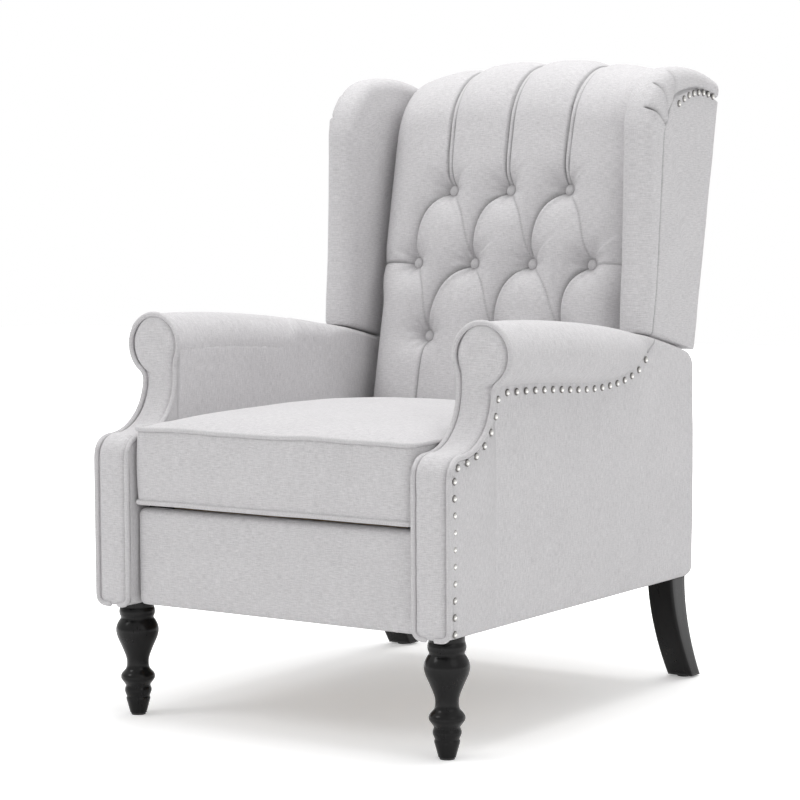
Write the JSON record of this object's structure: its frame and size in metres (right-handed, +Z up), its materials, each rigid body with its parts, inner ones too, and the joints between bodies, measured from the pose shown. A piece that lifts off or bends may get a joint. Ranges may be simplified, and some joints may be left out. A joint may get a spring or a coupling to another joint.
{
  "type": "recliner chair",
  "caption": "Push-back wing recliner in pale linen: button-tufted back, rolled arms with nail trim, boxed seat cushion, turned front legs and a footrest on folding links.",
  "frame": {"origin": "on the floor, centred under the chair's bounding box", "axes": "+Z up, the front of the chair faces -Y, +X to the right of someone looking at its front"},
  "size_m": [0.698, 0.8423, 1.024],
  "materials": {
    "linen": "plain woven linen-look cloth in pale grey",
    "button_linen": "the same cloth drawn tight over button moulds",
    "deck_cloth": "plain grey lining cloth",
    "webbing": "black elastic webbing",
    "frame_timber": "planed plywood and solid wood, unfinished",
    "leg_wood": "black lacquer over turned hardwood, satin",
    "link_steel": "black powder coat",
    "rivet_steel": "zinc-plated steel",
    "spring_steel": "bare spring wire",
    "nail_heads": "satin nickel plate",
    "glide_nylon": "moulded nylon"
  },
  "bodies": {
    "base": {"arm_frame_left": "frame_timber", "arm_frame_right": "frame_timber", "arm_cover_left": "linen", "arm_cover_right": "linen", "arm_facing_left": "linen", "arm_facing_right": "linen", "arm_nails_left": "nail_heads", "arm_nails_right": "nail_heads", "front_stretcher": "frame_timber", "rear_rail": "frame_timber", "rear_panel": "linen", "base_plate_left": "link_steel", "base_plate_right": "link_steel", "base_plate_bolts": "rivet_steel", "base_pivot_pins": "rivet_steel", "front_leg_left": "leg_wood", "front_leg_right": "leg_wood", "rear_leg_left": "leg_wood", "rear_leg_right": "leg_wood", "leg_bolts": "rivet_steel", "leg_glides": "glide_nylon"},
    "back": {"back_frame": "frame_timber", "back_webbing": "webbing", "back_bracket_left": "link_steel", "back_bracket_right": "link_steel", "back_cushion": "linen", "back_buttons": "button_linen", "back_outside_panel": "linen", "wing_left": "linen", "wing_right": "linen", "wing_board_left": "frame_timber", "wing_board_right": "frame_timber", "wing_nails_left": "nail_heads", "wing_nails_right": "nail_heads"},
    "seat": {"seat_frame": "frame_timber", "seat_springs": "spring_steel", "seat_deck": "deck_cloth", "seat_cushion": "linen", "seat_plate_left": "link_steel", "seat_plate_right": "link_steel", "seat_pivot_pins": "rivet_steel"},
    "hanger_left": {"seat_hanger_left": "link_steel"},
    "hanger_right": {"seat_hanger_right": "link_steel"},
    "main_links": {"main_link_left": "link_steel", "main_link_right": "link_steel", "cross_tube": "link_steel", "main_link_pins": "rivet_steel", "guide_rollers": "rivet_steel"},
    "upper_link_left": {"upper_link_left": "link_steel"},
    "upper_link_right": {"upper_link_right": "link_steel"},
    "lift_link_left": {"lift_link_left": "link_steel"},
    "lift_link_right": {"lift_link_right": "link_steel"},
    "stay_link_left": {"stay_link_left": "link_steel"},
    "stay_link_right": {"stay_link_right": "link_steel"},
    "footrest": {"footrest_bracket_left": "link_steel", "footrest_bracket_right": "link_steel", "footrest_pins": "rivet_steel", "footrest_board": "frame_timber", "footrest_pad": "linen"}
  },
  "joints": [
    {"name": "back_recline", "type": "hinge", "parent": "base", "child": "back", "pos_m": [0, 0.26372, 0.45], "axis": [-1, 0, 0], "range_deg": [0, 30]},
    {"name": "seat_glide", "type": "hinge", "parent": "back", "child": "seat", "pos_m": [0, 0.25172, 0.312], "axis": [-1, 0, 0], "range_deg": [-30, 0]},
    {"name": "hanger_swing_left", "type": "hinge", "parent": "base", "child": "hanger_left", "pos_m": [0, 0.02072, 0.325], "axis": [-1, 0, 0], "range_deg": [0, 30]},
    {"name": "hanger_swing_right", "type": "hinge", "parent": "base", "child": "hanger_right", "pos_m": [0, 0.02072, 0.325], "axis": [-1, 0, 0], "range_deg": [0, 30]},
    {"name": "main_link_swing", "type": "hinge", "parent": "seat", "child": "main_links", "pos_m": [0, -0.30128, 0.318], "axis": [-1, 0, 0], "range_deg": [0, 90]},
    {"name": "upper_link_swing_left", "type": "hinge", "parent": "seat", "child": "upper_link_left", "pos_m": [0, -0.34128, 0.318], "axis": [-1, 0, 0], "range_deg": [0, 90]},
    {"name": "upper_link_swing_right", "type": "hinge", "parent": "seat", "child": "upper_link_right", "pos_m": [0, -0.34128, 0.318], "axis": [-1, 0, 0], "range_deg": [0, 90]},
    {"name": "lift_link_swing_left", "type": "hinge", "parent": "main_links", "child": "lift_link_left", "pos_m": [0, -0.20628, 0.185], "axis": [-1, 0, 0], "range_deg": [-90, 0]},
    {"name": "lift_link_swing_right", "type": "hinge", "parent": "main_links", "child": "lift_link_right", "pos_m": [0, -0.20628, 0.185], "axis": [-1, 0, 0], "range_deg": [-90, 0]},
    {"name": "stay_link_swing_left", "type": "hinge", "parent": "main_links", "child": "stay_link_left", "pos_m": [0, -0.20828, 0.223], "axis": [-1, 0, 0], "range_deg": [-90, 0]},
    {"name": "stay_link_swing_right", "type": "hinge", "parent": "main_links", "child": "stay_link_right", "pos_m": [0, -0.20828, 0.223], "axis": [-1, 0, 0], "range_deg": [-90, 0]},
    {"name": "footrest_tilt", "type": "hinge", "parent": "lift_link_left", "child": "footrest", "pos_m": [0, -0.33128, 0.284], "axis": [-1, 0, 0], "range_deg": [0, 90]}
  ],
  "couplings": [
    {"joint": "seat_glide", "follows": "back_recline", "ratio": -1},
    {"joint": "hanger_swing_left", "follows": "back_recline", "ratio": 1},
    {"joint": "hanger_swing_right", "follows": "back_recline", "ratio": 1},
    {"joint": "main_link_swing", "follows": "back_recline", "ratio": 3},
    {"joint": "upper_link_swing_left", "follows": "back_recline", "ratio": 3},
    {"joint": "upper_link_swing_right", "follows": "back_recline", "ratio": 3},
    {"joint": "lift_link_swing_left", "follows": "back_recline", "ratio": -3},
    {"joint": "lift_link_swing_right", "follows": "back_recline", "ratio": -3},
    {"joint": "stay_link_swing_left", "follows": "back_recline", "ratio": -3},
    {"joint": "stay_link_swing_right", "follows": "back_recline", "ratio": -3},
    {"joint": "footrest_tilt", "follows": "back_recline", "ratio": 3}
  ]
}
